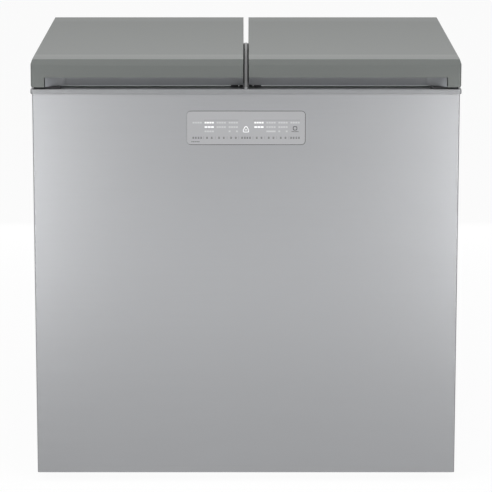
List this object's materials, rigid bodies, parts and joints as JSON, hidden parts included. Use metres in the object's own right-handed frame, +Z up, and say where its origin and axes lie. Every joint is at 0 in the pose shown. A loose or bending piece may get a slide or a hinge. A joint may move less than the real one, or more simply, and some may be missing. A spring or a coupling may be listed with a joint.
{
  "type": "chest kimchi refrigerator",
  "caption": "Chest refrigerator with two lift-up lids side by side, a finger recess under each, and a flush touch display in a brushed steel front.",
  "frame": {"origin": "on the floor, under the middle of the whole object", "axes": "+Z up, the front with the display faces -Y, +X to the right of someone facing the front"},
  "size_m": [0.925, 0.775, 0.94],
  "materials": {
    "stainless": "brushed along the width",
    "trim": "satin grey",
    "painted_steel": "satin grey",
    "galvanised": "zinc coated, dull",
    "lid_plastic": "fine satin grain",
    "liner_plastic": "smooth, pale",
    "foam": "rigid foam, open cut",
    "rubber": "matte black",
    "dark_plastic": "matte",
    "window_plastic": "smooth, silver grey",
    "circuit_board": "solder mask",
    "copper": "drawn tube",
    "black_steel": "gloss black",
    "zinc": "bright zinc plate"
  },
  "bodies": {
    "cabinet": {"front_panel": "stainless", "top_frame": "trim", "side_panel_left": "painted_steel", "side_panel_right": "painted_steel", "back_panel": "painted_steel", "base_pan": "galvanised", "machine_cover": "galvanised", "tub_left": "liner_plastic", "tub_right": "liner_plastic", "cabinet_foam": "foam", "compressor_grommet_1": "rubber", "compressor_grommet_2": "rubber", "compressor_grommet_3": "rubber", "compressor_grommet_4": "rubber", "display_case": "dark_plastic", "fan_frame": "dark_plastic", "control_box": "dark_plastic", "power_inlet": "dark_plastic", "display_window": "window_plastic", "display_board": "circuit_board", "evaporator_left": "copper", "evaporator_right": "copper", "filter_drier": "copper", "compressor": "black_steel", "condenser": "black_steel", "roller_axle_left": "zinc", "roller_axle_right": "zinc", "hinge_bracket_left_outer": "zinc", "hinge_pin_left_outer": "zinc", "hinge_spring_left_outer": "zinc", "hinge_bracket_left_inner": "zinc", "hinge_pin_left_inner": "zinc", "hinge_spring_left_inner": "zinc", "hinge_bracket_right_inner": "zinc", "hinge_pin_right_inner": "zinc", "hinge_spring_right_inner": "zinc", "hinge_bracket_right_outer": "zinc", "hinge_pin_right_outer": "zinc", "hinge_spring_right_outer": "zinc"},
    "left_lid": {"lid_cover_left": "lid_plastic", "lid_foam_left": "foam", "lid_liner_left": "liner_plastic", "lid_gasket_left": "rubber", "lid_pad_left": "rubber", "hinge_arm_left_outer": "zinc", "hinge_arm_left_inner": "zinc"},
    "right_lid": {"lid_cover_right": "lid_plastic", "lid_foam_right": "foam", "lid_liner_right": "liner_plastic", "lid_gasket_right": "rubber", "lid_pad_right": "rubber", "hinge_arm_right_outer": "zinc", "hinge_arm_right_inner": "zinc"},
    "fan": {"fan_rotor": "dark_plastic"},
    "rear_roller_left": {"roller_left": "dark_plastic"},
    "rear_roller_right": {"roller_right": "dark_plastic"},
    "foot_left": {"foot_pad_left": "dark_plastic"},
    "foot_right": {"foot_pad_right": "dark_plastic"},
    "stem_left": {"foot_stem_left": "zinc"},
    "stem_right": {"foot_stem_right": "zinc"}
  },
  "joints": [
    {"name": "left_lid_hinge", "type": "hinge", "parent": "cabinet", "child": "left_lid", "pos_m": [0, 0.3795, 0.9], "axis": [-1, 0, 0], "range_deg": [0, 80], "stiffness_Nm_per_rad": 7.2, "springref_deg": 79.98},
    {"name": "right_lid_hinge", "type": "hinge", "parent": "cabinet", "child": "right_lid", "pos_m": [0, 0.3795, 0.9], "axis": [-1, 0, 0], "range_deg": [0, 80], "stiffness_Nm_per_rad": 7.2, "springref_deg": 79.98},
    {"name": "fan_spin", "type": "hinge", "parent": "cabinet", "child": "fan", "pos_m": [0.046, 0.1777, 0.1043], "axis": [1, 0, 0], "continuous": true},
    {"name": "left_roller_spin", "type": "hinge", "parent": "cabinet", "child": "rear_roller_left", "pos_m": [-0.4, 0.3, 0.018], "axis": [1, 0, 0], "continuous": true},
    {"name": "right_roller_spin", "type": "hinge", "parent": "cabinet", "child": "rear_roller_right", "pos_m": [0.4, 0.3, 0.018], "axis": [1, 0, 0], "continuous": true},
    {"name": "left_foot_slide", "type": "slide", "parent": "cabinet", "child": "foot_left", "axis": [0, 0, 1], "range_m": [-0.012, 0]},
    {"name": "left_stem_turn", "type": "hinge", "parent": "foot_left", "child": "stem_left", "pos_m": [-0.4, -0.29, 0], "axis": [0, 0, 1], "range_deg": [-2880, 0]},
    {"name": "right_foot_slide", "type": "slide", "parent": "cabinet", "child": "foot_right", "axis": [0, 0, 1], "range_m": [-0.012, 0]},
    {"name": "right_stem_turn", "type": "hinge", "parent": "foot_right", "child": "stem_right", "pos_m": [0.4, -0.29, 0], "axis": [0, 0, 1], "range_deg": [-2880, 0]}
  ],
  "couplings": [
    {"joint": "left_foot_slide", "follows": "left_stem_turn", "m_per_rad": 0.0002387},
    {"joint": "right_foot_slide", "follows": "right_stem_turn", "m_per_rad": 0.0002387}
  ]
}
